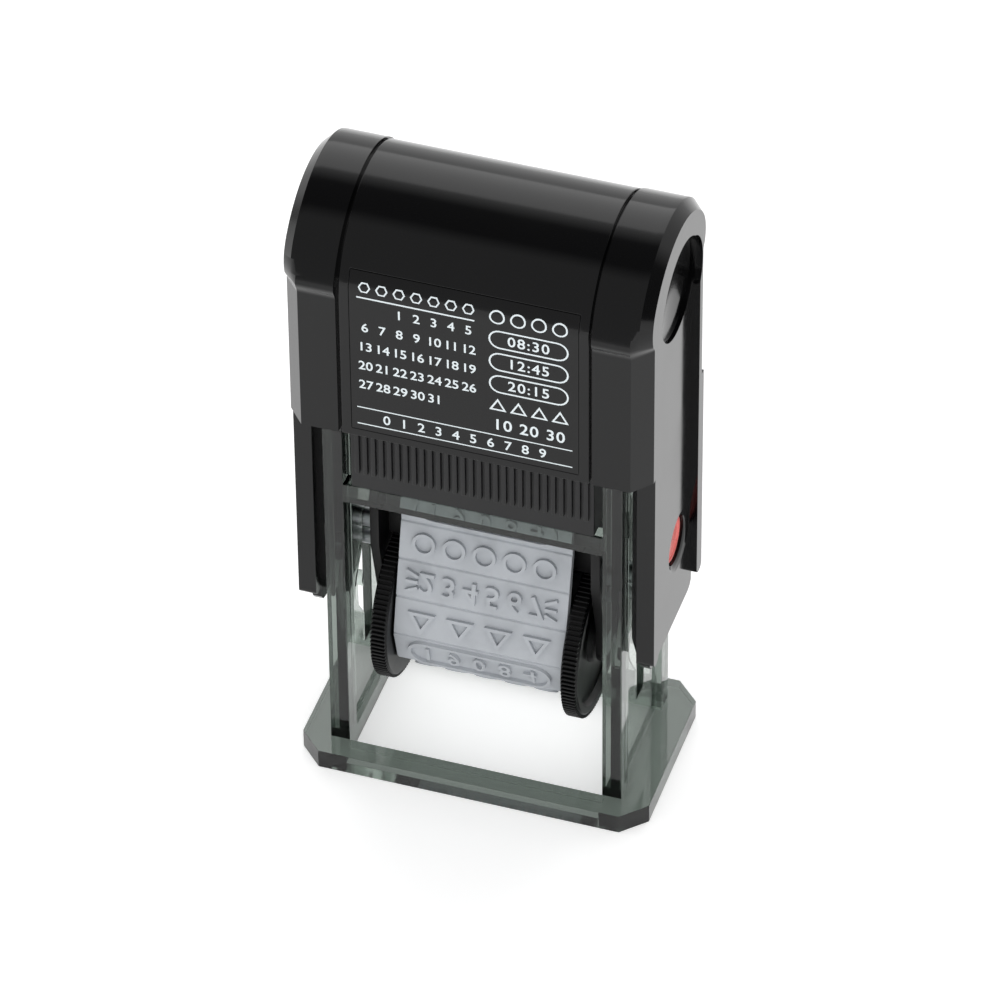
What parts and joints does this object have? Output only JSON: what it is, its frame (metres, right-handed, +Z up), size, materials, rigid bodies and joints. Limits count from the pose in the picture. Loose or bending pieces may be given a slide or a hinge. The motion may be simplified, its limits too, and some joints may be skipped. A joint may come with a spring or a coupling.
{
  "type": "rotary band stamp",
  "caption": "Self-inking rotary stamp with a black domed case over a clear green frame, a rubber band of raised print lines on thumb wheels, and red lock buttons.",
  "frame": {"origin": "centre of the underside of the foot ring, on the paper", "axes": "+Z up along the press stroke, +X to the right along the band's width, -Y to the front"},
  "size_m": [0.0424, 0.024, 0.0821],
  "materials": {
    "smoke_clear": "clear smoky green moulded plastic",
    "charcoal_plastic": "satin moulded",
    "ink_foam": "inked foam",
    "spring_steel": "drawn wire",
    "gloss_black": "polished ABS",
    "label_film": "printed film",
    "button_red": "moulded",
    "matte_black": "moulded",
    "cushion_foam": "foam",
    "band_rubber": "moulded rubber",
    "wheel_black": "knurled"
  },
  "bodies": {
    "frame": {"clear_frame": "smoke_clear", "pad_cartridge": "charcoal_plastic", "ink_pad": "ink_foam", "spring_bridge": "charcoal_plastic", "return_spring": "spring_steel"},
    "case": {"case_shell": "gloss_black", "centre_cover": "gloss_black", "front_label": "label_film", "left_pivot_pin": "spring_steel", "right_pivot_pin": "spring_steel", "left_button_spring": "spring_steel", "right_button_spring": "spring_steel"},
    "left_button": {"left_lock_button": "button_red"},
    "right_button": {"right_lock_button": "button_red"},
    "print_unit": {"left_side_plate": "matte_black", "right_side_plate": "matte_black", "left_cam_pin": "spring_steel", "right_cam_pin": "spring_steel", "tie_bar": "matte_black", "platen": "matte_black", "platen_cushion": "cushion_foam", "print_band": "band_rubber", "drum_axle": "spring_steel"},
    "band_wheels": {"band_drum": "matte_black", "left_thumb_wheel": "wheel_black", "right_thumb_wheel": "wheel_black"}
  },
  "joints": [
    {"name": "press", "type": "slide", "parent": "frame", "child": "case", "axis": [0, 0, -1], "range_m": [0, 0.017], "stiffness_N_per_m": 500, "springref_m": -0.006, "deforming": ["return_spring"]},
    {"name": "flip", "type": "hinge", "parent": "case", "child": "print_unit", "pos_m": [0, 0, 0.0294], "axis": [-1, 0, 0], "range_deg": [0, 180]},
    {"name": "wheel_turn", "type": "hinge", "parent": "print_unit", "child": "band_wheels", "pos_m": [0, 0, 0.0189], "axis": [1, 0, 0], "continuous": true},
    {"name": "left_button_push", "type": "slide", "parent": "case", "child": "left_button", "axis": [1, 0, 0], "range_m": [0, 0.0005], "stiffness_N_per_m": 400, "springref_m": -0.001, "deforming": ["left_button_spring"]},
    {"name": "right_button_push", "type": "slide", "parent": "case", "child": "right_button", "axis": [-1, 0, 0], "range_m": [0, 0.0005], "stiffness_N_per_m": 400, "springref_m": -0.001, "deforming": ["right_button_spring"]}
  ],
  "couplings": [
    {"joint": "flip", "follows": "press", "rad_per_m": 184.8}
  ]
}
